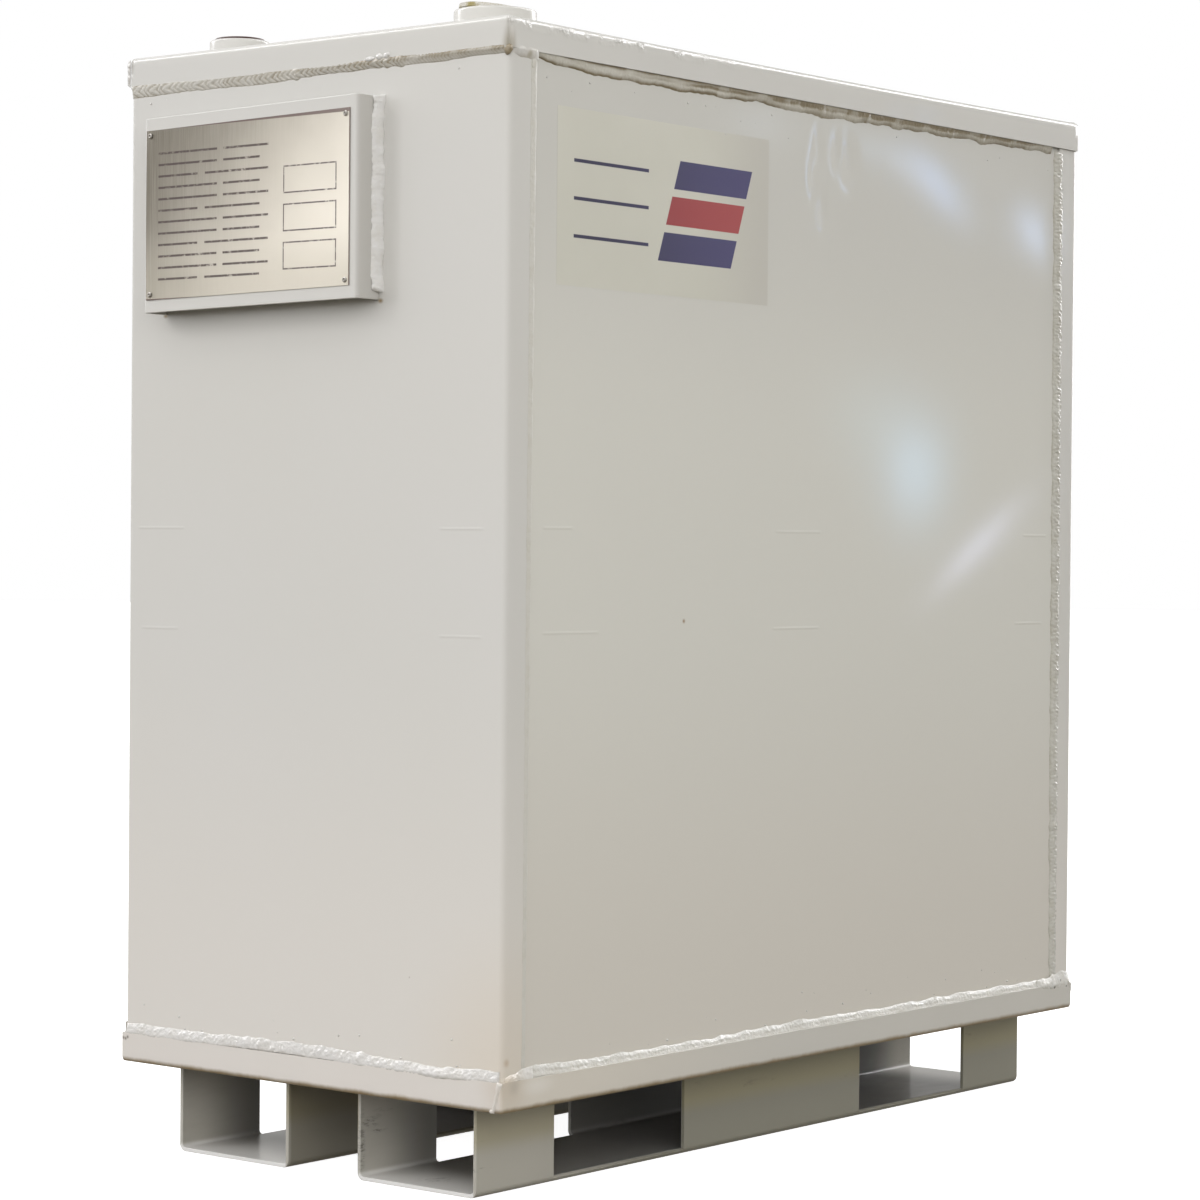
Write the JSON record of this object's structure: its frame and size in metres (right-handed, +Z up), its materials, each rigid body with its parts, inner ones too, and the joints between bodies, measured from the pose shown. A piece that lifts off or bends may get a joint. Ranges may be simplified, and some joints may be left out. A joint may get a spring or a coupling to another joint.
{
  "type": "rectangular double-wall oil storage tank on skids",
  "caption": "Upright box-shaped welded steel storage tank with lapped lid and bottom pans, capped pipe couplings, a nameplate bracket and fork-lift skid channels.",
  "frame": {"origin": "middle of the footprint's bounding box, on the floor under the skids", "axes": "+Z up; -Y out of the narrow end that carries the nameplate; +X out of the long side to the right of it"},
  "size_m": [0.6132, 1.2588, 1.3563],
  "materials": {
    "white_paint": "gloss off-white paint",
    "weld_paint": "gloss off-white paint over rippled weld beads",
    "skid_paint": "off-white paint, thin and scuffed",
    "brushed_metal": "brushed",
    "yellow_plastic": "matte, oversprayed",
    "brown_plastic": "matte, oversprayed"
  },
  "bodies": {
    "root": {"top_pan": "white_paint", "bottom_pan": "white_paint", "front_end_sheet": "white_paint", "rear_end_sheet": "white_paint", "right_side_sheet": "white_paint", "left_side_sheet": "white_paint", "nameplate_bracket": "white_paint", "front_large_port": "white_paint", "front_small_port": "white_paint", "rear_large_port": "white_paint", "rear_small_port": "white_paint", "front_top_weld": "weld_paint", "front_bottom_weld": "weld_paint", "rear_top_weld": "weld_paint", "rear_bottom_weld": "weld_paint", "right_top_weld": "weld_paint", "right_bottom_weld": "weld_paint", "left_top_weld": "weld_paint", "left_bottom_weld": "weld_paint", "right_front_seam_weld": "weld_paint", "right_rear_seam_weld": "weld_paint", "left_front_seam_weld": "weld_paint", "left_rear_seam_weld": "weld_paint", "bracket_left_weld": "weld_paint", "bracket_right_weld": "weld_paint", "front_large_port_weld": "weld_paint", "front_small_port_weld": "weld_paint", "rear_large_port_weld": "weld_paint", "rear_small_port_weld": "weld_paint", "right_skid_channel": "skid_paint", "left_skid_channel": "skid_paint", "nameplate": "brushed_metal", "nameplate_rivet_upper_left": "brushed_metal", "nameplate_rivet_upper_right": "brushed_metal", "nameplate_rivet_lower_left": "brushed_metal", "nameplate_rivet_lower_right": "brushed_metal", "front_large_plug": "yellow_plastic", "front_small_plug": "brown_plastic", "rear_large_plug": "yellow_plastic", "rear_small_plug": "brown_plastic"}
  },
  "joints": []
}
